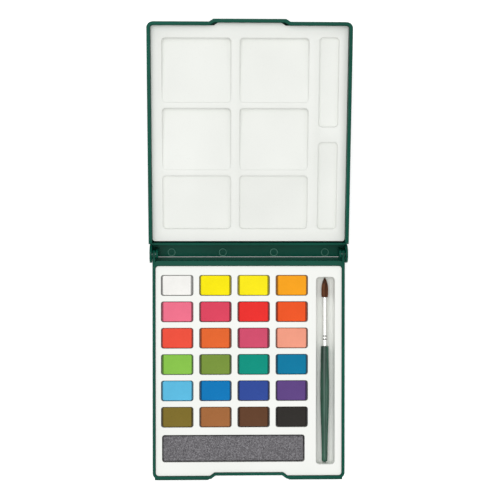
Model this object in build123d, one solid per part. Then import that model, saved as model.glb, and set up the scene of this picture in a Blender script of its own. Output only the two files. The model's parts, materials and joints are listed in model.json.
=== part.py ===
from build123d import *
import os
from math import cos, radians, sin

# A hinged watercolour case, lying open on a table.
# A plastic tray holds a moulded insert with loose pans of paint, a sponge and a short brush.
# The lid holds a lift-out mixing palette and turns on two pins in the tray's back lugs.
#
# Millimetres. The origin is the centre of the tray's underside: +X towards the brush,
# +Y towards the hinge, +Z up. The lid and what it holds are drawn closed over the tray
# and then turned open about the hinge.

# Pans of paint, from the hinge to the front and from left to right
colours = [
    ["white", "lemon_yellow", "warm_yellow", "golden_yellow"],
    ["rose_pink", "carmine", "scarlet", "orange_red"],
    ["vermilion", "orange", "rose_madder", "salmon"],
    ["leaf_green", "olive_green", "viridian", "turquoise"],
    ["sky_blue", "cerulean", "ultramarine", "violet"],
    ["ochre", "burnt_sienna", "burnt_umber", "black"],
]
rows = len(colours)
columns = len(colours[0])
pan_length = 19.0  # along X
pan_width = 12.0  # along Y
pan_height = 10.1  # from the tray's floor to the top of the paint
pan_corner = 1.3
pan_clearance = 0.2  # pan to its pocket, each side
cup_wall = 0.7
cup_floor = 0.8
paint_head = 1.3  # paint standing above the cup's rim
paint_end_inset = 0.6  # ends of that head, in from the cup's outside
paint_side_inset = 0.15
paint_edge = 0.45
paint_drop = 0.5  # top of the paint below the insert's face

# Sponge
sponge_width = 15.6
sponge_clearance = 0.4
sponge_corner = 1.6
sponge_drop = 0.2

# Brush
brush_length = 111.9
bristle_length = 11.8
bristle_belly = 4.0
bristle_root = 3.0  # held inside the ferrule
ferrule_length = 29.6
ferrule_diameter = 3.3
ferrule_wall = 0.35
crimp_depth = 0.15
crimp_width = 0.8
crimp_from_handle = 3.9
crimp_pitch = 2.4
handle_neck = 8.0  # held inside the ferrule
handle_shoulder = 4.8
handle_belly = 5.5
belly_from_ferrule = 26.5
handle_tail = 3.6
brush_air = 0.15  # under the handle's belly
brush_end_room = 0.45
brush_side_room = 2.9
brush_cover = 1.55  # insert's face above the handle

# Insert
column_bar = 3.5
row_bar = 3.42
left_border = 3.2
right_border = 4.15
rear_border = 5.4
least_front_border = 8.2
trough_bar = 4.85  # between the last column and the trough
trough_end_border = 5.9
trough_corner = 2.2
trough_round = 1.8
sponge_bar = 4.5  # between the last row and the sponge
pocket_inset_left = 0.6
pocket_inset_right = 1.9
face_thickness = 1.4
sleeve_wall = 1.0
skirt_wall = 1.2
insert_clearance = 0.2

# Tray
wall = 1.6
rear_wall = 3.0
floor_thickness = 1.6
tray_corner = 3.6
tray_edge = 0.8
rim_above_insert = 0.8
notch_mouth = 45.4
notch_slope = 2.7
notch_depth = 2.0
sill_depth = 1.3
sill_below_lid = 0.5
sill_inset = 1.1
ledge_gap = 0.3  # between the rear ledge and the open lid's back edge

# Hinge
hinge_setback = 3.9  # from the rear wall's outside to the axis
pin_radius = 1.0
pin_clearance = 0.05
lug_radius = 2.4
ear_radius = 5.2
ear_wall = 1.3
ear_clearance = 0.3
knuckle_wall = 1.4
open_angle = 170.0
table_clearance = 0.18

# Lid
lid_wall = 2.0
lid_clearance = 0.2
lid_overlap = 3.0
lid_corner = 3.6
lid_edge = 1.0
strip_tail = 3.3  # lid's plate behind the hinge axis
strip_front = 6.4  # where the full-width shell begins, ahead of the axis
cross_wall = 1.2
cross_clearance = 0.3
tab_beyond_notch = 0.9  # tab's mouth past the notch's, each side
tab_slope = 2.4
tab_reach = 1.6
bead_radius = 0.45
bead_clearance = 0.15
bead_length = 12.0
bead_from_notch = 9.5
mark_diameter = 5.0
mark_depth = 0.15
mark_border = 7.8  # from the last mark's middle to the knuckle
marks = 4

# Palette
palette_headroom = 0.5  # above the tray's rim when the lid is shut
palette_depth = 7.0
palette_wall = 1.2
palette_clearance = 0.2
palette_rear_gap = 1.2
palette_corner = 1.4
well_corner = 2.0
well_depth = 3.6
flat_well_depth = 1.8
well_fade = 0.35  # depth of a sloping well at its shallow end
well_left_border = 6.2
well_right_border = 5.2
well_column_bar = 4.9
narrow_well_bar = 5.9
narrow_well_width = 11.6
well_far_border = 7.2
well_rear_border = 7.3
sloping_well_lengths = [37.8, 36.8]
well_row_bar = 3.0
narrow_well_far_border = 6.7
narrow_well_rear_border = 7.2
narrow_well_gap = 8.8

# Insert's outline, from what it holds
pocket_length = pan_length + 2 * pan_clearance
pocket_width = pan_width + 2 * pan_clearance
pocket_corner = pan_corner + pan_clearance
grid_length = columns * pocket_length + (columns - 1) * column_bar
grid_width = rows * pocket_width + (rows - 1) * row_bar
trough_width = max(handle_belly, handle_shoulder) + 2 * brush_side_room
trough_length = brush_length + 2 * brush_end_room
sponge_pocket_width = sponge_width + 2 * sponge_clearance
insert_half_width = (left_border + grid_length + trough_bar + trough_width + right_border) / 2
pans_stack = rear_border + grid_width + sponge_bar + sponge_pocket_width + least_front_border
trough_stack = trough_length + 2 * trough_end_border
insert_length = max(pans_stack, trough_stack)

# Tray's outline, around the insert
tray_half_width = insert_half_width + insert_clearance + wall
tray_length = insert_length + 2 * insert_clearance + wall + rear_wall
tray_front = -tray_length / 2
tray_rear = tray_length / 2
insert_front = tray_front + wall + insert_clearance
insert_rear = tray_rear - rear_wall - insert_clearance
insert_corner = tray_corner - wall - insert_clearance

# Heights
paint_top = floor_thickness + pan_height
insert_top = paint_top + paint_drop
tray_height = insert_top + rim_above_insert
trough_floor = insert_top - brush_cover - handle_belly - brush_air
brush_height = trough_floor + brush_air + handle_belly / 2
sponge_floor = floor_thickness + sleeve_wall
palette_face = tray_height + palette_headroom
lid_inside = palette_face + palette_depth
lid_top = lid_inside + lid_wall
lid_skirt = tray_height - lid_overlap

# The axis stands just high enough for the open lid's back edge to clear the table.
tilt = radians(180 - open_angle)
hinge_y = tray_rear + hinge_setback
hinge_z = (lid_top * cos(tilt) + strip_tail * sin(tilt) + table_clearance) / (1 + cos(tilt))

# The open lid's back edge, at the plate's inner corner, and the ledge on the tray that nearly meets it
plate_drop = lid_inside - hinge_z
lid_tail_y = hinge_y - strip_tail * cos(tilt) + plate_drop * sin(tilt)
lid_tail_z = hinge_z - strip_tail * sin(tilt) - plate_drop * cos(tilt)
ledge_rear = lid_tail_y - ledge_gap

# Places inside the insert
grid_left = left_border - insert_half_width
grid_rear = insert_rear - rear_border
trough_left = grid_left + grid_length + trough_bar
brush_x = trough_left + trough_width / 2
trough_y = (insert_front + insert_rear) / 2
sponge_pocket_x = (grid_left + pocket_inset_left, grid_left + grid_length - pocket_inset_right)
sponge_pocket_rear = grid_rear - grid_width - sponge_bar
sponge_pocket_y = (sponge_pocket_rear - sponge_pocket_width, sponge_pocket_rear)

# Lid's outline, around the tray
lid_inner_half = tray_half_width + lid_clearance
lid_half_width = lid_inner_half + lid_wall
lid_inner_front = tray_front - lid_clearance
lid_front = lid_inner_front - lid_wall
shell_rear = hinge_y - strip_front
ear_inner = tray_half_width + ear_clearance
ear_outer = ear_inner + ear_wall
knuckle_outer = tray_half_width - wall - ear_clearance
knuckle_inner = knuckle_outer - knuckle_wall
mark_pitch = 2 * (knuckle_inner - mark_border) / (marks - 1)
tab_mouth = notch_mouth + 2 * tab_beyond_notch

# Palette's outline, inside the lid, and the wells that share it
palette_half = lid_inner_half - palette_clearance
palette_y = (lid_inner_front + palette_clearance, shell_rear - palette_rear_gap)
palette_length = palette_y[1] - palette_y[0]
well_borders = well_left_border + well_column_bar + narrow_well_bar + well_right_border
wide_well_width = (2 * palette_half - well_borders - narrow_well_width) / 2
sloping_length = sum(sloping_well_lengths) + len(sloping_well_lengths) * well_row_bar
flat_well_length = palette_length - well_far_border - sloping_length - well_rear_border
narrow_well_borders = narrow_well_far_border + narrow_well_gap + narrow_well_rear_border
narrow_well_length = (palette_length - narrow_well_borders) / 2


def block(x, y, z, corner=0.0):
    """A box between the limits x, y and z, with its upright edges rounded."""
    length = x[1] - x[0]
    width = y[1] - y[0]
    if corner > 0:
        outline = RectangleRounded(length, width, min(corner, 0.45 * length, 0.45 * width))
    else:
        outline = Rectangle(length, width)
    return Pos((x[0] + x[1]) / 2, (y[0] + y[1]) / 2, z[0]) * extrude(outline, amount=z[1] - z[0])


def grown(limits, amount):
    """The limits moved apart by an amount at each end."""
    return (limits[0] - amount, limits[1] + amount)


def both(half):
    """Limits at the same distance either side of zero."""
    return (-half, half)


def turned(points):
    """A solid of revolution about Y, from points of radius and distance along Y."""
    return revolve(make_face(Polyline(*points, close=True)), axis=Axis.Y)


def open_up(piece):
    """Turn a piece of the shut lid to its open place."""
    return piece.rotate(Axis((0, hinge_y, hinge_z), (1, 0, 0)), -open_angle)


def save(name, piece):
    """Write one piece as one STEP file."""
    piece.label = name
    export_step(piece, f"parts/{name}.step")


def finger_notch(setback, z):
    """The notch at the middle of the front wall, moved into the tray by a setback."""
    outside = notch_depth + sill_depth
    flare = notch_slope * (notch_depth + outside) / notch_depth
    outline = Polygon(
        (notch_mouth / 2 - notch_slope, tray_front + notch_depth),
        (-notch_mouth / 2 + notch_slope, tray_front + notch_depth),
        (-notch_mouth / 2 + notch_slope - flare, tray_front - outside),
        (notch_mouth / 2 - notch_slope + flare, tray_front - outside),
        align=None,
    )
    if setback > 0:
        outline = offset(outline, setback, kind=Kind.INTERSECTION)
    return Pos(0, 0, z[0]) * extrude(outline, amount=z[1] - z[0])


def hinge_disc(x, radius):
    """A disc about the hinge axis, between two places on X."""
    disc = Rot(0, 90, 0) * Cylinder(radius, x[1] - x[0])
    return Pos((x[0] + x[1]) / 2, hinge_y, hinge_z) * disc


def hinge_cheek(x, radius, y, z):
    """A wall square to the axis, from a disc about the axis to a straight edge."""
    disc = Pos(hinge_y, hinge_z) * Circle(radius)
    edge = Pos((y[0] + y[1]) / 2, (z[0] + z[1]) / 2) * Rectangle(y[1] - y[0], z[1] - z[0])
    outline = Plane.YZ * make_hull(disc.edges() + edge.edges())
    return Pos(x[0], 0, 0) * extrude(outline, amount=x[1] - x[0], dir=(1, 0, 0))


def bead(side, radius):
    """The snap bead on the tray's front wall, or its groove in the lid."""
    centre = side * (notch_mouth / 2 + bead_from_notch + bead_length / 2)
    rod = Rot(0, 90, 0) * Cylinder(radius, bead_length + 2 * (radius - bead_radius))
    return Pos(centre, tray_front, (lid_skirt + tray_height) / 2) * rod


def pin_span(side):
    """Limits on X of the left (-1) or right (+1) hinge pin."""
    return tuple(sorted((side * knuckle_inner, side * ear_outer)))


def base_tray():
    """The tray with its front notch, sill and back lugs."""
    body = block(both(tray_half_width), both(tray_length / 2), (0, tray_height), tray_corner)
    sill_x = both(tray_half_width - sill_inset)
    sill_y = (tray_front - sill_depth, tray_front + tray_corner)
    body += block(sill_x, sill_y, (0, lid_skirt - sill_below_lid))
    body -= finger_notch(0, (0, tray_height))
    body += block(both(tray_half_width), (tray_rear - tray_corner, ledge_rear), (0, lid_tail_z))
    body = chamfer(body.faces().sort_by(Axis.Z)[0].edges(), min(tray_edge, floor_thickness / 2))
    inside_y = (tray_front + wall, tray_rear - rear_wall)
    inside_z = (floor_thickness, tray_height)
    inside = block(both(tray_half_width - wall), inside_y, inside_z, tray_corner - wall)
    body -= inside - finger_notch(wall, inside_z)
    for side in (-1, 1):
        lug_x = tuple(sorted((side * (tray_half_width - wall), side * tray_half_width)))
        root_y = (tray_rear - rear_wall, tray_rear)
        root_z = (hinge_z - 2 * lug_radius, tray_height)
        body += hinge_cheek(lug_x, lug_radius, root_y, root_z)
        body -= hinge_disc(lug_x, pin_radius + pin_clearance)
        body += bead(side, bead_radius) - block(both(tray_half_width), inside_y, inside_z)
    return body


def pan_pocket(row, column, margin, z, corner, end_margin=None):
    """A block at one pan's place: its pocket plus a margin all round, or another at its two ends."""
    if end_margin is None:
        end_margin = margin
    left = grid_left + column * (pocket_length + column_bar)
    rear = grid_rear - row * (pocket_width + row_bar)
    x = grown((left, left + pocket_length), end_margin)
    y = grown((rear - pocket_width, rear), margin)
    return block(x, y, z, corner)


def paint_insert():
    """The moulded insert: a face, an outer skirt, sleeves for the pans, a sponge box and a trough."""
    full = (floor_thickness, insert_top)
    under = (floor_thickness, insert_top - face_thickness)
    y = (insert_front, insert_rear)
    back_of_front = wall + insert_clearance
    body = block(both(insert_half_width), y, full, insert_corner)
    body -= finger_notch(back_of_front, full)
    hollow = block(both(insert_half_width - skirt_wall), grown(y, -skirt_wall), under)
    hollow -= finger_notch(back_of_front + skirt_wall, under)
    for row in range(rows):
        for column in range(columns):
            corner = pocket_corner + sleeve_wall
            hollow -= pan_pocket(row, column, sleeve_wall, under, corner)
    box_x = grown(sponge_pocket_x, sleeve_wall)
    box_y = grown(sponge_pocket_y, sleeve_wall)
    hollow -= block(box_x, box_y, under, sponge_corner + sleeve_wall)
    channel_x = (trough_left, trough_left + trough_width)
    channel_y = grown((trough_y, trough_y), trough_length / 2)
    channel_z = (trough_floor - sleeve_wall, insert_top)
    outer_channel = block(
        grown(channel_x, sleeve_wall), grown(channel_y, sleeve_wall), channel_z, trough_corner
    )
    hollow -= outer_channel
    body -= hollow
    for row in range(rows):
        for column in range(columns):
            body -= pan_pocket(row, column, 0, full, pocket_corner)
    body -= block(sponge_pocket_x, sponge_pocket_y, (sponge_floor, insert_top), sponge_corner)
    channel = block(channel_x, channel_y, (trough_floor, insert_top), trough_corner)
    channel = fillet(channel.faces().sort_by(Axis.Z)[0].edges(), min(trough_round, 0.9 * trough_corner))
    return body - channel


def pan_cup(row, column):
    """One open cup, standing on the tray's floor."""
    rim = paint_top - paint_head
    cup = pan_pocket(row, column, -pan_clearance, (floor_thickness, rim), pan_corner)
    inside = -pan_clearance - cup_wall
    corner = max(pan_corner - cup_wall, 0)
    return cup - pan_pocket(row, column, inside, (floor_thickness + cup_floor, rim), corner)


def paint_cake(row, column):
    """The paint in one cup, with a head that stands over the cup's rim."""
    rim = paint_top - paint_head
    corner = max(pan_corner - cup_wall, 0)
    inside = -pan_clearance - cup_wall
    stem = pan_pocket(row, column, inside, (floor_thickness + cup_floor, rim), corner)
    end_margin = -pan_clearance - paint_end_inset
    side_margin = -pan_clearance - paint_side_inset
    head = pan_pocket(row, column, side_margin, (rim, paint_top), pan_corner - paint_side_inset, end_margin)
    head = fillet(head.faces().sort_by(Axis.Z)[-1].edges(), min(paint_edge, paint_head / 2))
    return stem + head


def sponge():
    """The block of sponge in its pocket."""
    x = grown(sponge_pocket_x, -sponge_clearance)
    y = grown(sponge_pocket_y, -sponge_clearance)
    corner = sponge_corner - sponge_clearance
    return block(x, y, (sponge_floor, insert_top - sponge_drop), corner)


def brush_places():
    """Where the brush's parts meet, along Y: tip, ferrule's mouth, handle's shoulder, tail."""
    tip = trough_y + brush_length / 2
    mouth = tip - bristle_length
    shoulder = mouth - ferrule_length
    tail = trough_y - brush_length / 2
    return tip, mouth, shoulder, tail


def brush_bristles():
    """The pointed head of hair, its root inside the ferrule."""
    tip, mouth, shoulder, tail = brush_places()
    bore = ferrule_diameter / 2 - ferrule_wall
    belly = (bristle_belly / 2, mouth + 0.4 * bristle_length)
    edge = Spline((bore, mouth), belly, (0.0, tip), tangents=((0.3, 1), (-0.35, 1)))
    root = Polyline((0.0, tip), (0.0, mouth - bristle_root), (bore, mouth - bristle_root), (bore, mouth))
    hair = revolve(make_face(edge + root), axis=Axis.Y)
    return Pos(brush_x, 0, brush_height) * hair


def brush_ferrule():
    """The metal tube between hair and handle, with crimped rings."""
    tip, mouth, shoulder, tail = brush_places()
    outer = ferrule_diameter / 2
    bore = outer - ferrule_wall
    tube = turned([(bore, shoulder), (outer, shoulder), (outer, mouth), (bore, mouth)])
    for ring in range(2):
        y = shoulder + crimp_from_handle + ring * crimp_pitch
        low = y - crimp_width / 2
        high = y + crimp_width / 2
        floor = outer - crimp_depth
        tube -= turned([(floor, y), (outer + crimp_depth, low), (outer + crimp_depth, high)])
    return Pos(brush_x, 0, brush_height) * tube


def brush_handle():
    """The turned handle: a neck in the ferrule, a shoulder, a belly and a rounded tail."""
    tip, mouth, shoulder, tail = brush_places()
    bore = ferrule_diameter / 2 - ferrule_wall
    end = handle_tail / 2
    belly = (handle_belly / 2, shoulder - belly_from_ferrule)
    side = Spline(
        (handle_shoulder / 2, shoulder), belly, (end, tail + end), tangents=((0.05, -1), (-0.02, -1))
    )
    cap = RadiusArc((end, tail + end), (0.0, tail), end)
    neck = Polyline(
        (0.0, tail),
        (0.0, shoulder + handle_neck),
        (bore, shoulder + handle_neck),
        (bore, shoulder),
        (handle_shoulder / 2, shoulder),
    )
    wood = revolve(make_face(side + cap + neck), axis=Axis.Y)
    return Pos(brush_x, 0, brush_height) * wood


def lid():
    """The lid: a plate with a skirt, a cross wall, ears and knuckles at the hinge and a thumb tab."""
    outside_y = (lid_front - tab_reach, shell_rear)
    body = block(both(lid_half_width), (lid_front, hinge_y), (lid_skirt, lid_top), lid_corner)
    body += thumb_tab(0, (lid_skirt, lid_top))
    top = body.faces().sort_by(Axis.Z)[-1]
    body = fillet(top.edges(), min(lid_edge, lid_wall / 2))
    body &= block(both(lid_half_width), outside_y, (lid_skirt, lid_top))
    inside_y = (lid_inner_front, shell_rear)
    inside_z = (lid_skirt, lid_inside)
    room = block(both(lid_inner_half), (lid_inner_front, hinge_y), inside_z, lid_corner - lid_wall)
    body -= room & block(both(lid_inner_half), inside_y, inside_z)
    body -= thumb_tab(lid_wall, inside_z)
    strip_y = (shell_rear, hinge_y + strip_tail)
    body += block(both(ear_outer), strip_y, (lid_inside, lid_top))
    cross_z = (tray_height + cross_clearance, lid_inside)
    body += block(both(ear_outer), (shell_rear, shell_rear + cross_wall), cross_z)
    for side in (-1, 1):
        ear_x = tuple(sorted((side * ear_inner, side * ear_outer)))
        body += hinge_cheek(ear_x, ear_radius, strip_y, (lid_inside, lid_top))
        knuckle_x = tuple(sorted((side * knuckle_inner, side * knuckle_outer)))
        knuckle_y = (hinge_y - lug_radius, hinge_y + lug_radius)
        body += hinge_cheek(knuckle_x, lug_radius, knuckle_y, (lid_inside, lid_top))
        body -= hinge_disc(pin_span(side), pin_radius)
        body -= bead(side, bead_radius + bead_clearance)
    for mark in range(marks):
        x = (mark - (marks - 1) / 2) * mark_pitch
        middle = hinge_y + strip_tail - mark_diameter / 2 - mark_depth
        body -= Pos(x, middle, lid_inside) * Cylinder(mark_diameter / 2, 2 * mark_depth)
    return open_up(body)


def thumb_tab(inset, z):
    """The bulge in the middle of the lid's front wall, moved inwards by an inset."""
    lean = tab_slope / tab_reach
    outer_y = lid_front - tab_reach + inset
    inner_y = lid_front + inset + lid_wall / 2
    narrowed = inset * (1 + lean**2) ** 0.5
    outer_half = tab_mouth / 2 + lean * (outer_y - lid_front) - narrowed
    inner_half = tab_mouth / 2 + lean * (inner_y - lid_front) - narrowed
    outline = Polygon(
        (-outer_half, outer_y),
        (outer_half, outer_y),
        (inner_half, inner_y),
        (-inner_half, inner_y),
        align=None,
    )
    return Pos(0, 0, z[0]) * extrude(outline, amount=z[1] - z[0])


def hinge_pin(side):
    """One pin, tight in the lid's ear and knuckle and free in the tray's lug."""
    return open_up(hinge_disc(pin_span(side), pin_radius))


def sloping_well(x, y, grow):
    """A well that is deep at the front of the shut lid and fades out towards the hinge."""
    deep = palette_face + well_depth + grow
    shallow = palette_face + well_fade + grow
    x = grown(x, grow)
    y = grown(y, grow)
    outline = Plane.YZ * Polygon(
        (y[0], palette_face), (y[1], palette_face), (y[1], shallow), (y[0], deep), align=None
    )
    wedge = Pos(x[0], 0, 0) * extrude(outline, amount=x[1] - x[0], dir=(1, 0, 0))
    return wedge & block(x, y, (palette_face, deep), well_corner + grow)


def flat_well(x, y, grow):
    """A shallow well with a level floor."""
    z = (palette_face, palette_face + flat_well_depth + grow)
    return block(grown(x, grow), grown(y, grow), z, well_corner + grow)


def palette_wells(grow):
    """Every well, grown by the palette's wall for the underside or by nothing for the hollow."""
    wells = Part()
    left = -palette_half
    front = palette_y[0]
    for column in range(2):
        x0 = left + well_left_border + column * (wide_well_width + well_column_bar)
        x = (x0, x0 + wide_well_width)
        y0 = front + well_far_border
        for length in sloping_well_lengths:
            wells += sloping_well(x, (y0, y0 + length), grow)
            y0 += length + well_row_bar
        wells += flat_well(x, (y0, y0 + flat_well_length), grow)
    x0 = left + well_left_border + 2 * wide_well_width + well_column_bar + narrow_well_bar
    for place in range(2):
        y0 = front + narrow_well_far_border + place * (narrow_well_length + narrow_well_gap)
        wells += flat_well((x0, x0 + narrow_well_width), (y0, y0 + narrow_well_length), grow)
    return wells


def mixing_palette():
    """The lift-out palette: a thin tray with wells, its skirt standing on the lid's plate."""
    z = (palette_face, lid_inside)
    under = (palette_face + palette_wall, lid_inside)
    body = block(both(palette_half), palette_y, z, palette_corner)
    body += thumb_tab(lid_wall + palette_clearance, z)
    inner_half = palette_half - palette_wall
    hollow = block(both(inner_half), grown(palette_y, -palette_wall), under, palette_corner)
    hollow -= palette_wells(palette_wall)
    body -= hollow
    body -= palette_wells(0)
    return open_up(body)


os.makedirs("parts", exist_ok=True)
save("base_tray", base_tray())
save("paint_insert", paint_insert())
save("sponge", sponge())
save("brush_bristles", brush_bristles())
save("brush_ferrule", brush_ferrule())
save("brush_handle", brush_handle())
save("lid", lid())
save("hinge_pin_left", hinge_pin(-1))
save("hinge_pin_right", hinge_pin(1))
save("mixing_palette", mixing_palette())
for row in range(rows):
    for column in range(columns):
        save(f"cup_{colours[row][column]}", pan_cup(row, column))
        save(f"paint_{colours[row][column]}", paint_cake(row, column))
print("tray", 2 * tray_half_width, tray_length, tray_height, "shut height", lid_top)
print("hinge", hinge_y, hinge_z, "lid front", lid_front, "brush", brush_x, brush_height)
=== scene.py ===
import bmesh
import bpy
import json
import math
import random
from mathutils import Matrix, Vector


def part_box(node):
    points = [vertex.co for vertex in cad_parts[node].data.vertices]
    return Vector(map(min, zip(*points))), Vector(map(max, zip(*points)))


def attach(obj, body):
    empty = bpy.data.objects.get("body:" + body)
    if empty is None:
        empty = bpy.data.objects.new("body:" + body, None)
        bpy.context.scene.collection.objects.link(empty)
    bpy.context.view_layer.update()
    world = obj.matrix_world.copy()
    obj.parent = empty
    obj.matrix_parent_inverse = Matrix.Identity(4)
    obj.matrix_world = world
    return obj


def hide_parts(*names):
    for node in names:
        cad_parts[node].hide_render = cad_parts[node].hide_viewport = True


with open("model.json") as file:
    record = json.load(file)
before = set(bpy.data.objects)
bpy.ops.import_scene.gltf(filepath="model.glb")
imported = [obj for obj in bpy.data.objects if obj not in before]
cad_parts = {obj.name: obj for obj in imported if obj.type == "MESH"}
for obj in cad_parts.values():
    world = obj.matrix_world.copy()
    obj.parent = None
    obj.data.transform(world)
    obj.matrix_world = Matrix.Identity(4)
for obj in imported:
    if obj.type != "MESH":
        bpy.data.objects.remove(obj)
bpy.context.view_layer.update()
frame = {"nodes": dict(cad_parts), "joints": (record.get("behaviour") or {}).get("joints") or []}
nodes = frame["nodes"]
joints = {joint["name"]: joint for joint in frame["joints"]}
bpy.ops.object.select_all(action="DESELECT")
print("frame loaded:", len(nodes), "nodes")

paintRows = (
    ("white", "lemon_yellow", "warm_yellow", "golden_yellow"),
    ("rose_pink", "carmine", "scarlet", "orange_red"),
    ("vermilion", "orange", "rose_madder", "salmon"),
    ("leaf_green", "olive_green", "viridian", "turquoise"),
    ("sky_blue", "cerulean", "ultramarine", "violet"),
    ("ochre", "burnt_sienna", "burnt_umber", "black"),
)

hingePoint = Vector(joints["lid_hinge"]["pos_m"])
lidTilt = math.radians(180 - abs(joints["lid_hinge"]["range_deg"][0]))
# takes flat lid space, with its origin on the hinge, to the open lid
lidPlace = Matrix.Translation(hingePoint) @ Matrix.Rotation(lidTilt, 4, "X")


# helpers that every piece uses

def linear(colour):
    parts = [value / 255 for value in colour]
    return tuple(v / 12.92 if v <= 0.04045 else ((v + 0.055) / 1.055) ** 2.4 for v in parts) + (1.0,)


def deselectAll():
    bpy.ops.object.select_all(action="DESELECT")


def makeActive(piece):
    deselectAll()
    piece.select_set(True)
    bpy.context.view_layer.objects.active = piece


def applyPlace(piece):
    makeActive(piece)
    bpy.ops.object.transform_apply(location=True, rotation=True, scale=True)


def addBlock(name, low, high):
    # a cube between two corners, with its place in its mesh
    deselectAll()
    low = Vector(low)
    high = Vector(high)
    bpy.ops.mesh.primitive_cube_add(size=1, location=(low + high) / 2)
    piece = bpy.context.active_object
    piece.name = name
    piece.scale = high - low
    applyPlace(piece)
    return piece


def selectFaces(piece, test):
    # leaves the piece in edit mode with only the faces that pass
    makeActive(piece)
    bpy.ops.object.mode_set(mode="EDIT")
    bpy.ops.mesh.select_mode(type="FACE")
    bpy.ops.mesh.select_all(action="DESELECT")
    mesh = bmesh.from_edit_mesh(piece.data)
    for face in mesh.faces:
        face.select_set(test(face))
    bmesh.update_edit_mesh(piece.data)


def selectEdges(piece, test):
    makeActive(piece)
    bpy.ops.object.mode_set(mode="EDIT")
    bpy.ops.mesh.select_mode(type="EDGE")
    bpy.ops.mesh.select_all(action="DESELECT")
    mesh = bmesh.from_edit_mesh(piece.data)
    for edge in mesh.edges:
        edge.select_set(test(edge))
    bmesh.update_edit_mesh(piece.data)


def isUpright(edge):
    start, end = (corner.co for corner in edge.verts)
    return abs(start.z - end.z) > 4 * (abs(start.x - end.x) + abs(start.y - end.y))


def bevelEdges(piece, test, width, segments):
    selectEdges(piece, test)
    bpy.ops.mesh.bevel(offset=width, segments=segments, affect="EDGES")
    bpy.ops.object.mode_set(mode="OBJECT")


def applyModifiers(piece):
    makeActive(piece)
    for modifier in list(piece.modifiers):
        bpy.ops.object.modifier_apply(modifier=modifier.name)


def cutAway(piece, cutter):
    cut = piece.modifiers.new("Cut", "BOOLEAN")
    cut.operation = "DIFFERENCE"
    cut.solver = "EXACT"
    cut.object = cutter
    applyModifiers(piece)
    bpy.data.objects.remove(cutter)


def roundEdges(piece, width, segments, angle=30):
    bevel = piece.modifiers.new("Rounded", "BEVEL")
    bevel.width = width
    bevel.segments = segments
    bevel.limit_method = "ANGLE"
    bevel.angle_limit = math.radians(angle)
    bevel.harden_normals = False
    applyModifiers(piece)


def smoothByAngle(piece, angle=35):
    makeActive(piece)
    bpy.ops.object.shade_smooth_by_angle(angle=math.radians(angle))


def faceOutwards(piece):
    makeActive(piece)
    bpy.ops.object.mode_set(mode="EDIT")
    bpy.ops.mesh.select_all(action="SELECT")
    bpy.ops.mesh.remove_doubles(threshold=1e-6)
    bpy.ops.mesh.normals_make_consistent(inside=False)
    bpy.ops.object.mode_set(mode="OBJECT")


def copyOf(piece, name):
    # a copy with its own mesh
    twin = piece.copy()
    twin.data = piece.data.copy()
    twin.name = name
    bpy.context.scene.collection.objects.link(twin)
    return twin


def joinAll(pieces, name):
    deselectAll()
    for piece in pieces:
        piece.select_set(True)
    bpy.context.view_layer.objects.active = pieces[0]
    bpy.ops.object.join()
    joined = bpy.context.active_object
    joined.name = name
    return joined


def turnedShape(name, centre, stations, sides):
    # a closed solid turned about Y: a filled ring pulled along through stations of (y, radius)
    deselectAll()
    firstY, firstRadius = stations[0]
    place = Vector((centre.x, firstY, centre.z))
    bpy.ops.mesh.primitive_circle_add(
        vertices=sides, radius=firstRadius, fill_type="NGON", location=place,
        rotation=(math.radians(90), 0, 0)
    )
    piece = bpy.context.active_object
    piece.name = name
    applyPlace(piece)
    bpy.ops.object.mode_set(mode="EDIT")
    bpy.ops.mesh.select_mode(type="FACE")
    bpy.ops.mesh.select_all(action="SELECT")
    for (y, radius), (nextY, nextRadius) in zip(stations, stations[1:]):
        move = {"value": (0, nextY - y, 0)}
        bpy.ops.mesh.extrude_region_move(TRANSFORM_OT_translate=move)
        grow = nextRadius / radius
        middle = (centre.x, nextY, centre.z)
        bpy.ops.transform.resize(value=(grow, 1, grow), center_override=middle)
    bpy.ops.object.mode_set(mode="OBJECT")
    faceOutwards(piece)
    return piece


def finishPiece(piece, body, node, material):
    piece.data.materials.clear()
    piece.data.materials.append(material)
    smoothByAngle(piece)
    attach(piece, body)
    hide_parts(node)


def extentInLid(node):
    # lowest and highest corner of a CAD node in the flat lid space
    inverse = lidPlace.inverted()
    points = [inverse @ corner.co for corner in nodes[node].data.vertices]
    low = Vector([min(point[axis] for point in points) for axis in range(3)])
    high = Vector([max(point[axis] for point in points) for axis in range(3)])
    return low, high


# materials: each starts from one Principled shader with noise in its colour, roughness and bump

def newMaterial(name):
    material = bpy.data.materials.new(name)
    material.use_nodes = True
    tree = material.node_tree
    shader = tree.nodes["Principled BSDF"]
    coordinates = tree.nodes.new("ShaderNodeTexCoord")
    return material, tree, shader, coordinates.outputs["Object"]


def noiseNode(tree, vector, scale, detail=3.0, roughness=0.5, stretch=None, centre=None):
    if stretch or centre:
        mapping = tree.nodes.new("ShaderNodeMapping")
        mapping.inputs["Scale"].default_value = stretch or (1, 1, 1)
        if centre:
            mapping.vector_type = "TEXTURE"
            mapping.inputs["Location"].default_value = centre
        tree.links.new(vector, mapping.inputs["Vector"])
        vector = mapping.outputs["Vector"]
    noise = tree.nodes.new("ShaderNodeTexNoise")
    noise.inputs["Scale"].default_value = scale
    noise.inputs["Detail"].default_value = detail
    noise.inputs["Roughness"].default_value = roughness
    tree.links.new(vector, noise.inputs["Vector"])
    return noise.outputs["Fac"]


def rangeNode(tree, value, fromLow, fromHigh, toLow, toHigh):
    spread = tree.nodes.new("ShaderNodeMapRange")
    spread.inputs["From Min"].default_value = fromLow
    spread.inputs["From Max"].default_value = fromHigh
    spread.inputs["To Min"].default_value = toLow
    spread.inputs["To Max"].default_value = toHigh
    tree.links.new(value, spread.inputs["Value"])
    return spread.outputs["Result"]


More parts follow.
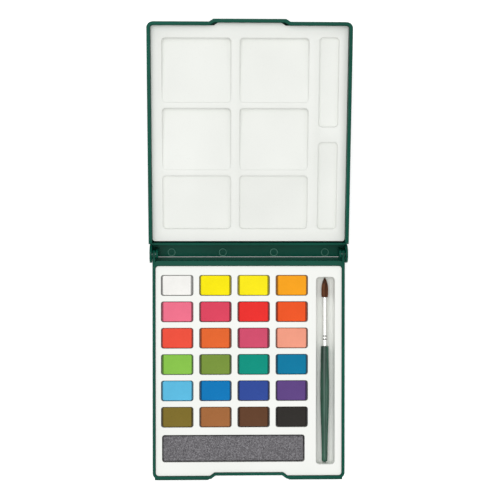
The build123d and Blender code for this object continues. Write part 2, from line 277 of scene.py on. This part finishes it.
def mixNode(tree, factor, first, second):
    mix = tree.nodes.new("ShaderNodeMix")
    mix.data_type = "RGBA"
    tree.links.new(factor, mix.inputs["Factor"])
    for socket, value in ((mix.inputs[6], first), (mix.inputs[7], second)):
        if isinstance(value, bpy.types.NodeSocket):
            tree.links.new(value, socket)
        else:
            socket.default_value = value
    return mix.outputs[2]


def bumpNode(tree, height, distance, strength=1.0, normal=None):
    bump = tree.nodes.new("ShaderNodeBump")
    bump.inputs["Strength"].default_value = strength
    bump.inputs["Distance"].default_value = distance
    tree.links.new(height, bump.inputs["Height"])
    if normal:
        tree.links.new(normal, bump.inputs["Normal"])
    return bump.outputs["Normal"]


def roundedNormal(tree, radius):
    edge = tree.nodes.new("ShaderNodeBevel")
    edge.samples = 6
    edge.inputs["Radius"].default_value = radius
    return edge.outputs["Normal"]


def mouldedPlastic(name, spec):
    # injection moulded: slow drift in tone, faint flow marks, fine grain and soft edges
    material, tree, shader, place = newMaterial(name)
    drift = noiseNode(tree, place, spec["driftScale"], 2.0)
    tone = rangeNode(tree, drift, 0.3, 0.7, 0.0, 1.0)
    tree.links.new(
        mixNode(tree, tone, linear(spec["dark"]), linear(spec["light"])), shader.inputs["Base Color"]
    )
    grain = noiseNode(tree, place, spec["grainScale"], 4.0, 0.6)
    gloss = rangeNode(tree, grain, 0.3, 0.7, spec["roughness"][0], spec["roughness"][1])
    tree.links.new(gloss, shader.inputs["Roughness"])
    edge = roundedNormal(tree, spec["edgeRadius"])
    tree.links.new(bumpNode(tree, grain, spec["bump"], 0.35, edge), shader.inputs["Normal"])
    shader.inputs["IOR"].default_value = 1.49
    shader.inputs["Specular IOR Level"].default_value = spec["specular"]
    return material


caseSpec = {
    "dark": (0, 71, 56), "light": (0, 82, 65), "driftScale": 30, "grainScale": 2600,
    "roughness": (0.26, 0.36), "bump": 0.00004, "edgeRadius": 0.0005, "specular": 0.12,
}
insertSpec = {
    "dark": (239, 241, 236), "light": (244, 245, 241), "driftScale": 24, "grainScale": 1800,
    "roughness": (0.34, 0.46), "bump": 0.00003, "edgeRadius": 0.0004, "specular": 0.4,
}
paletteLook = {
    "dark": (231, 233, 228), "light": (237, 239, 234), "driftScale": 22, "grainScale": 1200,
    "roughness": (0.26, 0.36), "bump": 0.00002, "edgeRadius": 0.0003, "specular": 0.4,
}
casePlastic = mouldedPlastic("casePlastic", caseSpec)
insertPlastic = mouldedPlastic("insertPlastic", insertSpec)
palettePlastic = mouldedPlastic("palettePlastic", paletteLook)


def drawnSteel():
    material, tree, shader, place = newMaterial("drawnSteel")
    lines = noiseNode(tree, place, 900, 2.0, 0.5, stretch=(0.05, 1, 1))
    tree.links.new(rangeNode(tree, lines, 0.3, 0.7, 0.22, 0.4), shader.inputs["Roughness"])
    tree.links.new(bumpNode(tree, lines, 0.00002, 0.4), shader.inputs["Normal"])
    shader.inputs["Base Color"].default_value = linear((168, 170, 172))
    shader.inputs["Metallic"].default_value = 1.0
    return material


# the case: tray, lid, insert and pins keep their CAD shapes
for nodeName, material in (
    ("base_tray", casePlastic), ("lid", casePlastic), ("paint_insert", insertPlastic),
    ("hinge_pin_left", drawnSteel()), ("hinge_pin_right", drawnSteel()),
):
    nodes[nodeName].data.materials.clear()
    nodes[nodeName].data.materials.append(material)
print("case dressed")


# the camera looks down from above the hinge, a little to the left of it
cameraSpec = {
    "eye": (-0.02, 0.0165, 0.7605), "aim": (0.0007, 0.0025, 0.013), "lens": 90, "sensor": 36,
}
abovePin = Vector((0, hingePoint.y, 0))  # eye and aim are measured from the table under the hinge
eye = abovePin + Vector(cameraSpec["eye"])
gaze = abovePin + Vector(cameraSpec["aim"]) - eye
nod = math.asin(gaze.y / gaze.length)
sway = math.atan2(-gaze.x, -gaze.z)
bpy.ops.object.camera_add(location=eye, rotation=(nod, sway, 0))
camera = bpy.context.active_object
camera.name = "camera"
camera.data.lens = cameraSpec["lens"]
camera.data.sensor_width = cameraSpec["sensor"]
camera.data.clip_start = 0.01
bpy.context.scene.camera = camera

studioSpec = {
    "floorDrop": 0.0002,
    "skyStrength": 0.62, "floorSize": 6.0, "floorTone": (250, 250, 250), "floorGlow": 0.42,
    "overhead": {"size": 1.3, "power": 9.0, "place": (-0.25, 0.2, 1.4)},
    "side": {"size": 0.8, "power": 2.2, "place": (1.0, -0.5, 0.9)},
}


def addSoftbox(name, spec):
    deselectAll()
    bpy.ops.object.light_add(type="AREA", location=spec["place"])
    lamp = bpy.context.active_object
    lamp.name = name
    lamp.data.size = spec["size"]
    lamp.data.energy = spec["power"]
    aim = Vector((0, hingePoint.y, 0)) - Vector(spec["place"])
    lamp.rotation_euler = aim.to_track_quat("-Z", "Y").to_euler()
    return lamp


def layFloor():
    # white for the camera and for reflections, and it still takes the object's shadow
    deselectAll()
    floorPlace = (0, hingePoint.y, -studioSpec["floorDrop"])
    bpy.ops.mesh.primitive_plane_add(size=studioSpec["floorSize"], location=floorPlace)
    floor = bpy.context.active_object
    floor.name = "studioFloor"
    material, tree, shader = newMaterial("floorPaper")[:3]
    shader.inputs["Base Color"].default_value = linear(studioSpec["floorTone"])
    shader.inputs["Roughness"].default_value = 0.9
    shader.inputs["Specular IOR Level"].default_value = 0.0
    paths = tree.nodes.new("ShaderNodeLightPath")
    seen = tree.nodes.new("ShaderNodeMath")
    seen.operation = "MAXIMUM"
    tree.links.new(paths.outputs["Is Camera Ray"], seen.inputs[0])
    tree.links.new(paths.outputs["Is Glossy Ray"], seen.inputs[1])
    glow = rangeNode(tree, seen.outputs["Value"], 0.0, 1.0, 0.0, studioSpec["floorGlow"])
    shader.inputs["Emission Color"].default_value = (1, 1, 1, 1)
    tree.links.new(glow, shader.inputs["Emission Strength"])
    floor.data.materials.append(material)


def lightTheSky():
    world = bpy.data.worlds.new("studioSky")
    bpy.context.scene.world = world
    world.use_nodes = True
    tree = world.node_tree
    background = tree.nodes["Background"]
    background.inputs["Color"].default_value = (1, 1, 1, 1)
    paths = tree.nodes.new("ShaderNodeLightPath")
    strength = rangeNode(
        tree, paths.outputs["Is Camera Ray"], 0.0, 1.0, studioSpec["skyStrength"], 1.0
    )
    tree.links.new(strength, background.inputs["Strength"])


addSoftbox("overheadSoftbox", studioSpec["overhead"])
addSoftbox("sideSoftbox", studioSpec["side"])
layFloor()
lightTheSky()
bpy.context.scene.view_settings.view_transform = "Standard"
print("studio ready")


# mixing palette: modelled flat in lid space, face up, then tilted into the open lid
paletteSpec = {
    "wall": 0.0012, "corner": 0.0014, "tabReach": 0.0016, "tabMouth": 0.0417, "tabSlope": 0.0024,
    "leftBorder": 0.0062, "columnBar": 0.0049, "wideWidth": 0.0407, "wellCorner": 0.0022,
    "farBorder": 0.0072, "slopingLengths": (0.0378, 0.0368), "rowBar": 0.0030, "flatLength": 0.0322,
    "deepEnd": 0.0036, "shallowEnd": 0.0003, "flatDepth": 0.0018, "wellRound": 0.0016,
    "narrowBar": 0.0059, "narrowWidth": 0.0116, "narrowLength": 0.0523, "narrowFarBorder": 0.0067,
    "narrowGap": 0.0088, "narrowDepth": 0.0019, "edge": 0.00035, "flatRound": 0.0006,
    "cutAbove": 0.003, "leanAbove": 0.009,
}


def wellCutter(left, right, near, far, depth, face, bottomRound, above=paletteSpec["cutAbove"]):
    cutter = addBlock("wellCutter", (left, near, face - depth), (right, far, face + above))
    bevelEdges(cutter, isUpright, paletteSpec["wellCorner"], 5)
    if bottomRound:
        low = face - depth + 1e-5
        bevelEdges(cutter, lambda edge: all(corner.co.z < low for corner in edge.verts), bottomRound, 4)
    return cutter


def slopeCutter(left, right, near, far, face):
    # the floor drops from the hinge side to the far side, so the whole cutter leans
    spec = paletteSpec
    cutter = wellCutter(left, right, near, far, spec["shallowEnd"], face, 0, spec["leanAbove"])
    lean = math.atan((spec["deepEnd"] - spec["shallowEnd"]) / (far - near))
    pivot = Vector((0, near, face - spec["shallowEnd"]))
    turn = Matrix.Translation(pivot) @ Matrix.Rotation(-lean, 4, "X") @ Matrix.Translation(-pivot)
    cutter.matrix_world = turn
    applyPlace(cutter)
    upright = turn.inverted()
    low = pivot.z + 1e-5
    bevelEdges(
        cutter, lambda edge: all((upright @ corner.co).z < low for corner in edge.verts),
        spec["wellRound"] * 0.6, 4
    )
    return cutter


def buildPalette():
    spec = paletteSpec
    low, high = extentInLid("mixing_palette")
    face = high.z
    far = high.y - spec["tabReach"]
    palette = addBlock("mixingPalette", (low.x, low.y, low.z), (high.x, far, face))
    bevelEdges(palette, isUpright, spec["corner"], 4)
    # the far edge bulges out in the middle: cut it across twice, then pull the middle face out
    makeActive(palette)
    bpy.ops.object.mode_set(mode="EDIT")
    for side in (-1, 1):
        bpy.ops.mesh.select_all(action="SELECT")
        bpy.ops.mesh.bisect(plane_co=(side * spec["tabMouth"] / 2, 0, 0), plane_no=(1, 0, 0))
    bpy.ops.object.mode_set(mode="OBJECT")
    selectFaces(palette, lambda f: f.normal.y > 0.9 and abs(f.calc_center_median().x) < 0.001)
    bpy.ops.mesh.extrude_region_move(TRANSFORM_OT_translate={"value": (0, spec["tabReach"], 0)})
    narrowed = 1 - 2 * spec["tabSlope"] / spec["tabMouth"]
    bpy.ops.transform.resize(value=(narrowed, 1, 1), center_override=(0, high.y, 0))
    bpy.ops.object.mode_set(mode="OBJECT")
    faceOutwards(palette)
    for column in range(2):
        left = low.x + spec["leftBorder"] + column * (spec["wideWidth"] + spec["columnBar"])
        right = left + spec["wideWidth"]
        edge = far - spec["farBorder"]
        for length in spec["slopingLengths"]:
            cutAway(palette, slopeCutter(left, right, edge - length, edge, face))
            edge -= length + spec["rowBar"]
        near = edge - spec["flatLength"]
        cutAway(palette, wellCutter(left, right, near, edge, spec["flatDepth"], face, spec["flatRound"]))
    left = low.x + spec["leftBorder"] + 2 * spec["wideWidth"] + spec["columnBar"] + spec["narrowBar"]
    for place in range(2):
        edge = far - spec["narrowFarBorder"] - place * (spec["narrowLength"] + spec["narrowGap"])
        near = edge - spec["narrowLength"]
        right = left + spec["narrowWidth"]
        depth = spec["narrowDepth"]
        cutAway(palette, wellCutter(left, right, near, edge, depth, face, spec["flatRound"]))
    # open underneath: drop the bottom, soften the edges and give the shell its wall
    selectFaces(palette, lambda f: f.normal.z < -0.9 and f.calc_center_median().z < low.z + 1e-5)
    bpy.ops.mesh.delete(type="FACE")
    bpy.ops.object.mode_set(mode="OBJECT")
    roundEdges(palette, spec["edge"], 3, 25)
    shell = palette.modifiers.new("Wall", "SOLIDIFY")
    shell.thickness = spec["wall"]
    shell.offset = -1
    applyModifiers(palette)
    palette.matrix_world = lidPlace
    applyPlace(palette)
    finishPiece(palette, "palette", "mixing_palette", palettePlastic)
    return palette


buildPalette()
print("palette modelled")


# round moulding marks left by the ejector pins along the lid's hinge strip
markSpec = {
    "places": (-0.0465, -0.0155, 0.0155, 0.0465), "fromAxis": -0.00065, "bed": -0.009102,
    "radius": 0.0024, "height": 0.00012, "ring": 0.0005, "edge": 0.00004, "sides": 48,
}
markLook = {
    "dark": (62, 116, 100), "light": (84, 136, 120), "driftScale": 400, "grainScale": 3000,
    "roughness": (0.55, 0.7), "bump": 0.00003, "edgeRadius": 0.0001, "specular": 0.3,
}


def pressMarks():
    spec = markSpec
    look = mouldedPlastic("markPlastic", markLook)
    deselectAll()
    bpy.ops.mesh.primitive_cylinder_add(
        vertices=spec["sides"], radius=spec["radius"], depth=spec["height"],
        location=(0, spec["fromAxis"], spec["bed"] + spec["height"] / 2)
    )
    pattern = bpy.context.active_object
    applyPlace(pattern)
    # inset both ends and bridge them through, which leaves a raised ring
    selectFaces(pattern, lambda f: abs(f.normal.z) > 0.9)
    bpy.ops.mesh.inset(thickness=spec["ring"])
    bpy.ops.mesh.bridge_edge_loops()
    bpy.ops.object.mode_set(mode="OBJECT")
    faceOutwards(pattern)
    roundEdges(pattern, spec["edge"], 2)
    for number, x in enumerate(spec["places"], start=1):
        mark = copyOf(pattern, "mouldingMark." + str(number))
        mark.matrix_world = lidPlace @ Matrix.Translation((x, 0, 0))
        applyPlace(mark)
        mark.data.materials.append(look)
        smoothByAngle(mark)
        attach(mark, "lid")
    bpy.data.objects.remove(pattern)


pressMarks()
print("moulding marks pressed")


# paint cakes: one cast block is modelled, then copied into every pan
paintSpec = {
    "headSink": 0.0004, "corner": 0.0014, "cornerSegments": 6, "topEdge": 0.00035,
    "dish": 0.00008, "rim": 0.00035,
    "sideDepth": 0.0017, "wobble": 0.00005, "turn": 0.4, "streakScale": 60, "grainScale": 900,
    "edgeShade": 0.5, "roughness": (0.55, 0.7), "bump": 0.00005, "specular": 0.12,
    "cupShade": (0.3, 0.42), "streakShade": (0.94, 1.02), "fleckScale": 700, "fleckShade": 0.8,
    "band": (0.0004, 0.0009), "bandSoft": 0.00022, "bandShade": 0.36,
}
paintColours = {
    "white": (247, 246, 242), "lemon_yellow": (253, 236, 3), "warm_yellow": (254, 237, 19),
    "golden_yellow": (251, 166, 25), "rose_pink": (242, 115, 142), "carmine": (224, 69, 96),
    "scarlet": (238, 47, 44), "orange_red": (241, 87, 35), "vermilion": (241, 81, 61),
    "orange": (232, 104, 46), "rose_madder": (212, 78, 110), "salmon": (245, 160, 134),
    "leaf_green": (138, 198, 76), "olive_green": (122, 150, 60), "viridian": (2, 148, 128),
    "turquoise": (2, 123, 163), "sky_blue": (93, 189, 227), "cerulean": (3, 121, 188),
    "ultramarine": (49, 76, 156), "violet": (97, 69, 133), "ochre": (128, 110, 42),
    "burnt_sienna": (166, 106, 60), "burnt_umber": (100, 65, 43), "black": (48, 45, 42),
}


def shaded(colour, share):
    red, green, blue = linear(colour)[:3]
    return (red * share, green * share, blue * share, 1.0)


def driedPaint(name, colour, centre, halfLength):
    # soft streaks from casting and a chalky grain, with painted shade on the steep sides and at both
    # ends of the block
    spec = paintSpec
    material, tree, shader, place = newMaterial("paint_" + name)
    streaks = noiseNode(
        tree, place, spec["streakScale"], 3.0, 0.5, stretch=(0.6, 1.0, 1.0), centre=centre
    )
    tone = rangeNode(tree, streaks, 0.35, 0.65, 0.0, 1.0)
    dull, bright = (shaded(colour, share) for share in spec["streakShade"])
    flecks = rangeNode(tree, noiseNode(tree, place, spec["fleckScale"], 1.0), 0.74, 0.8, 0.0, 1.0)
    face = mixNode(tree, flecks, mixNode(tree, tone, dull, bright), shaded(colour, spec["fleckShade"]))
    # painted shade at both ends: a band in a darker share of the paint's colour stands in for the
    # shadowed sides of the block
    along = tree.nodes.new("ShaderNodeSeparateXYZ")
    tree.links.new(place, along.inputs["Vector"])
    ends = tree.nodes.new("ShaderNodeMath")
    ends.operation = "MAXIMUM"
    for number, side in enumerate((-1, 1)):
        edge = centre.x + side * (halfLength - random.uniform(*spec["band"]))
        share = rangeNode(tree, along.outputs["X"], edge, edge + side * spec["bandSoft"], 0.0, 1.0)
        tree.links.new(share, ends.inputs[number])
    face = mixNode(tree, ends.outputs["Value"], face, shaded(colour, spec["bandShade"]))
    # painted shade: faces that turn away from straight up take a darker share of the paint's colour
    geometry = tree.nodes.new("ShaderNodeNewGeometry")
    parts = tree.nodes.new("ShaderNodeSeparateXYZ")
    tree.links.new(geometry.outputs["Normal"], parts.inputs["Vector"])
    upward = rangeNode(tree, parts.outputs["Z"], 0.25, 0.9, 0.0, 1.0)
    tree.links.new(
        mixNode(tree, upward, shaded(colour, spec["edgeShade"]), face), shader.inputs["Base Color"]
    )
    grain = noiseNode(tree, place, spec["grainScale"], 5.0, 0.65)
    dryness = rangeNode(tree, grain, 0.3, 0.7, spec["roughness"][0], spec["roughness"][1])
    tree.links.new(dryness, shader.inputs["Roughness"])
    tree.links.new(bumpNode(tree, grain, spec["bump"], 0.4), shader.inputs["Normal"])
    shader.inputs["Specular IOR Level"].default_value = spec["specular"]
    return material


def gapShadeCup(name, colour):
    # thin moulded cup in a dark share of the paint's colour, mottled at random: painted shade that
    # stands in for the shadowed gap round each cake
    material, tree, shader, place = newMaterial("cup_" + name)
    cupMottle = noiseNode(tree, place, 300, 3.0)
    tone = rangeNode(tree, cupMottle, 0.35, 0.65, 0.0, 1.0)
    dark, light = paintSpec["cupShade"]
    tree.links.new(
        mixNode(tree, tone, shaded(colour, dark), shaded(colour, light)), shader.inputs["Base Color"]
    )
    tree.links.new(rangeNode(tree, cupMottle, 0.3, 0.7, 0.3, 0.42), shader.inputs["Roughness"])
    return material


def modelCake(low, high):
    spec = paintSpec
    bottom = high.z - spec["sideDepth"] - spec["headSink"]
    cake = addBlock("cakePattern", (low.x, low.y, bottom), high)
    bevelEdges(cake, isUpright, spec["corner"], spec["cornerSegments"])
    # a slight dish in the top, from two insets
    selectFaces(cake, lambda f: f.normal.z > 0.9)
    bpy.ops.mesh.inset(thickness=spec["rim"])
    bpy.ops.mesh.inset(thickness=spec["rim"], depth=-spec["dish"])
    bpy.ops.object.mode_set(mode="OBJECT")
    topEdge = high.z - 1e-5
    bevelEdges(
        cake,
        lambda edge: all(c.co.z > topEdge for c in edge.verts)
        and any(f.normal.z < 0.5 for f in edge.link_faces),
        spec["topEdge"], 4
    )
    return cake


def castPaints():
    random.seed(24)
    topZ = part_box("paint_white")[1].z
    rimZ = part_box("cup_white")[1].z
    head = [v.co for v in nodes["paint_white"].data.vertices if v.co.z > rimZ + 1e-4]
    headLow = Vector((min(p.x for p in head), min(p.y for p in head), rimZ))
    headHigh = Vector((max(p.x for p in head), max(p.y for p in head), topZ))
    pattern = modelCake(headLow, headHigh)
    patternMiddle = (headLow + headHigh) / 2
    for row in paintRows:
        for name in row:
            low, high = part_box("paint_" + name)
            middle = (low + high) / 2
            colour = paintColours[name]
            cake = copyOf(pattern, "cake_" + name)
            shift = Vector((middle.x - patternMiddle.x, middle.y - patternMiddle.y, 0))
            turn = math.radians(random.uniform(-paintSpec["turn"], paintSpec["turn"]))
            sink = random.uniform(0, paintSpec["wobble"])
            centre = Matrix.Translation(Vector((patternMiddle.x, patternMiddle.y, 0)))
            spin = centre @ Matrix.Rotation(turn, 4, "Z") @ centre.inverted()
            cake.matrix_world = Matrix.Translation(shift - Vector((0, 0, sink))) @ spin
            applyPlace(cake)
            paint = driedPaint(name, colour, middle, (headHigh.x - headLow.x) / 2)
            finishPiece(cake, "pan_" + name, "paint_" + name, paint)
            cup = nodes["cup_" + name]
            cup.data.materials.clear()
            # the cup carries painted shade in the paint's hue
            cup.data.materials.append(gapShadeCup(name, colour))
    bpy.data.objects.remove(pattern)


castPaints()
print("paints cast")


# sponge: a fine grid pushed in and out by pores
spongeSpec = {
    "sideRoom": 0.0002, "corner": 0.0012, "speckleScale": 1400, "cellScale": 1100, "bump": 0.0004,
    "edge": 0.00055, "cell": 0.00055, "waves": 0.0035, "waveDepth": 0.00035, "pores": 0.0011,
    "poreDepth": 0.00055, "dark": (70, 68, 71), "light": (148, 146, 150), "pit": (98, 96, 99),
}


def foamMaterial():
    spec = spongeSpec
    material, tree, shader, place = newMaterial("spongeFoam")
    speckle = noiseNode(tree, place, spec["speckleScale"], 4.0, 0.7)
    tone = rangeNode(tree, speckle, 0.36, 0.64, 0.0, 1.0)
    cells = tree.nodes.new("ShaderNodeTexVoronoi")
    cells.inputs["Scale"].default_value = spec["cellScale"]
    tree.links.new(place, cells.inputs["Vector"])
    # painted shade in the pores: the centre of each cell takes a darker grey
    poreShadeMask = rangeNode(tree, cells.outputs["Distance"], 0.1, 0.5, 1.0, 0.0)
    body = mixNode(tree, tone, linear(spec["dark"]), linear(spec["light"]))
    tree.links.new(mixNode(tree, poreShadeMask, body, linear(spec["pit"])), shader.inputs["Base Color"])
    tree.links.new(bumpNode(tree, speckle, spec["bump"], 0.8), shader.inputs["Normal"])
    shader.inputs["Roughness"].default_value = 0.95
    shader.inputs["Specular IOR Level"].default_value = 0.12
    return material


def pressTexture(piece, kind, size, depth):
    texture = bpy.data.textures.new(piece.name + kind, type=kind)
    texture.noise_scale = size
    push = piece.modifiers.new("Foam", "DISPLACE")
    push.texture = texture
    push.texture_coords = "LOCAL"
    push.strength = depth
    push.mid_level = 0.62
    applyModifiers(piece)


def buildSponge():
    spec = spongeSpec
    low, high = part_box("sponge")
    inner = Vector((spec["sideRoom"], spec["sideRoom"], 0))
    sponge = addBlock("spongeBlock", low + inner, high - inner)
    bevelEdges(sponge, isUpright, spec["corner"], 3)
    top = high.z - 1e-5
    bevelEdges(sponge, lambda edge: all(c.co.z > top for c in edge.verts), spec["edge"], 2)
    remesh = sponge.modifiers.new("Cells", "REMESH")
    remesh.mode = "VOXEL"
    remesh.voxel_size = spec["cell"]
    applyModifiers(sponge)
    pressTexture(sponge, "CLOUDS", spec["waves"], spec["waveDepth"])
    pressTexture(sponge, "VORONOI", spec["pores"], spec["poreDepth"])
    finishPiece(sponge, "sponge", "sponge", foamMaterial())
    return sponge


buildSponge()
print("sponge modelled")


# brush: handle, ferrule and hair, all turned about the same line
brushSpec = {
    "sides": 48, "shoulder": 0.0024, "belly": 0.00275, "tail": 0.0018, "bellyShare": 0.375,
    "ferrule": 0.00165, "crimps": (0.0041, 0.0060), "crimpDepth": 0.00035, "crimpWidth": 0.0008,
    "neckLength": 0.002, "shoulderRound": 0.0003, "mouthRound": 0.0002, "rootDepth": 0.0008,
    "tipFade": 0.0045, "hairs": 150, "hairRadius": 0.00017, "hairSides": 5,
    "hairBelly": 0.00198, "hairRoot": 0.0018,
    "swell": 0.15, "taperFrom": 0.38, "grooveTone": (40, 42, 40),
}
hairLow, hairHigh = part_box("brush_bristles")
ferruleLow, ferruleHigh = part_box("brush_ferrule")
handleLow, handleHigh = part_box("brush_handle")
brushLine = Vector(((ferruleLow.x + ferruleHigh.x) / 2, 0, (ferruleLow.z + ferruleHigh.z) / 2))


def lacqueredWood():
    material, tree, shader, place = newMaterial("lacqueredWood")
    grain = noiseNode(tree, place, 260, 4.0, 0.6, stretch=(1, 0.06, 1))
    tone = rangeNode(tree, grain, 0.35, 0.65, 0.0, 1.0)
    lacquer = mixNode(tree, tone, linear((12, 50, 37)), linear((48, 104, 82)))
    tree.links.new(lacquer, shader.inputs["Base Color"])
    tree.links.new(bumpNode(tree, grain, 0.00002, 0.3), shader.inputs["Normal"])
    shader.inputs["Roughness"].default_value = 0.28
    shader.inputs["Specular IOR Level"].default_value = 0.25
    shader.inputs["Coat Weight"].default_value = 0.6
    shader.inputs["Coat Roughness"].default_value = 0.08
    return material


def platedMetal():
    spec = brushSpec
    material, tree, shader, place = newMaterial("platedMetal")
    lines = noiseNode(tree, place, 1200, 3.0, 0.5, stretch=(1, 0.04, 1))
    tree.links.new(rangeNode(tree, lines, 0.3, 0.7, 0.12, 0.24), shader.inputs["Roughness"])
    tree.links.new(bumpNode(tree, lines, 0.00001, 0.3), shader.inputs["Normal"])
    # painted shade in the two crimped grooves: a dark band along each groove
    along = tree.nodes.new("ShaderNodeSeparateXYZ")
    tree.links.new(place, along.inputs["Vector"])
    tone = linear((246, 246, 244))
    for crimp in spec["crimps"]:
        offset = tree.nodes.new("ShaderNodeMath")
        offset.operation = "SUBTRACT"
        offset.inputs[1].default_value = ferruleLow.y + crimp
        tree.links.new(along.outputs["Y"], offset.inputs[0])
        distance = tree.nodes.new("ShaderNodeMath")
        distance.operation = "ABSOLUTE"
        tree.links.new(offset.outputs["Value"], distance.inputs[0])
        grooveShadeMask = rangeNode(tree, distance.outputs["Value"], 0.0, spec["crimpWidth"] / 2, 1.0, 0.0)
        tone = mixNode(tree, grooveShadeMask, tone, linear(spec["grooveTone"]))
    tree.links.new(tone, shader.inputs["Base Color"])
    shader.inputs["Metallic"].default_value = 1.0
    return material


def brownHair():
    # darker towards the tip and streaked along each hair
    material, tree, shader, place = newMaterial("brownHair")
    streaks = noiseNode(tree, place, 2200, 3.0, 0.6, stretch=(1, 0.04, 1))
    tone = rangeNode(tree, streaks, 0.35, 0.65, 0.0, 1.0)
    body = mixNode(tree, tone, linear((54, 24, 8)), linear((110, 62, 28)))
    parts = tree.nodes.new("ShaderNodeSeparateXYZ")
    tree.links.new(place, parts.inputs["Vector"])
    tip = rangeNode(tree, parts.outputs["Y"], hairHigh.y - brushSpec["tipFade"], hairHigh.y, 0.0, 0.85)
    tree.links.new(mixNode(tree, tip, body, linear((38, 20, 12))), shader.inputs["Base Color"])
    shader.inputs["Roughness"].default_value = 0.5
    shader.inputs["Specular IOR Level"].default_value = 0.25
    return material


def smoothStep(share):
    return share * share * (3 - 2 * share)


def buildHandle():
    spec = brushSpec
    shoulderY = ferruleLow.y
    tailY = handleLow.y
    length = shoulderY - tailY
    turnIn = spec["shoulderRound"]
    stations = [(shoulderY + spec["neckLength"], spec["ferrule"] - 0.0004)]  # neck, inside the ferrule
    stations.append((shoulderY, spec["ferrule"] - turnIn))
    stations.append((shoulderY - turnIn / 6, spec["shoulder"] - 1.5 * turnIn))
    stations.append((shoulderY - turnIn, spec["shoulder"] - turnIn / 3))
    count = 26
    for step in range(1, count):
        share = step / count
        if share < spec["bellyShare"]:
            part = smoothStep(share / spec["bellyShare"])
            radius = spec["shoulder"] + (spec["belly"] - spec["shoulder"]) * part
        else:
            part = smoothStep((share - spec["bellyShare"]) / (1 - spec["bellyShare"]))
            radius = spec["belly"] + (spec["tail"] - spec["belly"]) * part
        y = shoulderY - turnIn - (length - spec["tail"] - turnIn) * share
        stations.append((y, radius))
    for step in range(0, 7):  # round end
        angle = math.radians(15 * step if step < 6 else 84)
        y = tailY + spec["tail"] - spec["tail"] * math.sin(angle)
        stations.append((y, spec["tail"] * math.cos(angle)))
    handle = turnedShape("brushHandle", brushLine, stations, spec["sides"])
    finishPiece(handle, "brush", "brush_handle", lacqueredWood())


def buildFerrule():
    spec = brushSpec
    radius = spec["ferrule"]
    y = ferruleLow.y
    stations = [(y, radius - spec["mouthRound"]), (y + spec["mouthRound"] / 2, radius)]
    for crimp in spec["crimps"]:
        middle = y + crimp
        half = spec["crimpWidth"] / 2
        for step in range(7):
            share = step / 6
            depth = spec["crimpDepth"] * math.sin(math.pi * share)
            stations.append((middle - half + 2 * half * share, radius - depth))
        stations.append((middle + half + 0.00018, radius + 0.00006))
        stations.append((middle + half + 0.00036, radius))
    stations.append((ferruleHigh.y - 0.0009, radius))
    stations.append((ferruleHigh.y - spec["mouthRound"], radius - 0.00002))
    stations.append((ferruleHigh.y, radius - 0.00015))
    ferrule = turnedShape("brushFerrule", brushLine, stations, spec["sides"])
    finishPiece(ferrule, "brush", "brush_ferrule", platedMetal())


def hairRadiusAt(share):
    # radius of the bundle from the ferrule's mouth (0) to the tip (1)
    spec = brushSpec
    if share < spec["swell"]:
        swell = smoothStep(share / spec["swell"])
        return spec["hairRoot"] + (spec["hairBelly"] - spec["hairRoot"]) * swell
    fall = max(share - spec["taperFrom"], 0) / (1 - spec["taperFrom"])
    return spec["hairBelly"] * max(1 - fall ** 1.9, 0.0) ** 0.8 + 0.00002


def buildHair():
    spec = brushSpec
    mouth = ferruleHigh.y
    length = hairHigh.y - mouth
    stations = [(mouth - spec["rootDepth"], spec["ferrule"] - 0.0004)]
    for step in range(14):
        share = step / 14
        stations.append((mouth + length * share * 0.98, hairRadiusAt(share) * 0.86))
    stations.append((mouth + length * 0.985, 0.00004))
    core = turnedShape("hairCore", brushLine, stations, 24)
    random.seed(7)
    strands = [core]
    for index in range(spec["hairs"]):
        angle = 2 * math.pi * (index * 0.618034 % 1)
        reach = random.uniform(0.86, 0.985)
        depth = random.uniform(0.86, 0.97)
        strand = addStrand(mouth, length * reach, depth, reach)
        about = Matrix.Translation(brushLine)
        strand.matrix_world = about @ Matrix.Rotation(angle, 4, "Y") @ about.inverted()
        applyPlace(strand)
        strands.append(strand)
    hair = joinAll(strands, "brushHair")
    finishPiece(hair, "brush", "brush_bristles", brownHair())


def addStrand(mouth, length, depth, reach):
    # one hair as a thin tapered strip of tube that follows the bundle's outside
    spec = brushSpec
    deselectAll()
    start = Vector((brushLine.x + hairRadiusAt(0) * depth, mouth + 0.00005, brushLine.z))
    bpy.ops.mesh.primitive_circle_add(
        vertices=spec["hairSides"], radius=spec["hairRadius"], fill_type="NGON", location=start,
        rotation=(math.radians(90), 0, 0)
    )
    strand = bpy.context.active_object
    applyPlace(strand)
    bpy.ops.object.mode_set(mode="EDIT")
    bpy.ops.mesh.select_mode(type="FACE")
    bpy.ops.mesh.select_all(action="SELECT")
    here = start
    steps = 7
    for step in range(1, steps + 1):
        share = step / steps
        offset = hairRadiusAt(share * reach) * depth
        target = Vector((brushLine.x + offset, mouth + length * share, brushLine.z))
        bpy.ops.mesh.extrude_region_move(TRANSFORM_OT_translate={"value": target - here})
        shrink = 0.97 if step < steps else 0.25
        bpy.ops.transform.resize(value=(shrink, 1, shrink), center_override=target)
        here = target
    bpy.ops.object.mode_set(mode="OBJECT")
    faceOutwards(strand)
    return strand


buildHandle()
buildFerrule()
buildHair()
print("brush modelled")
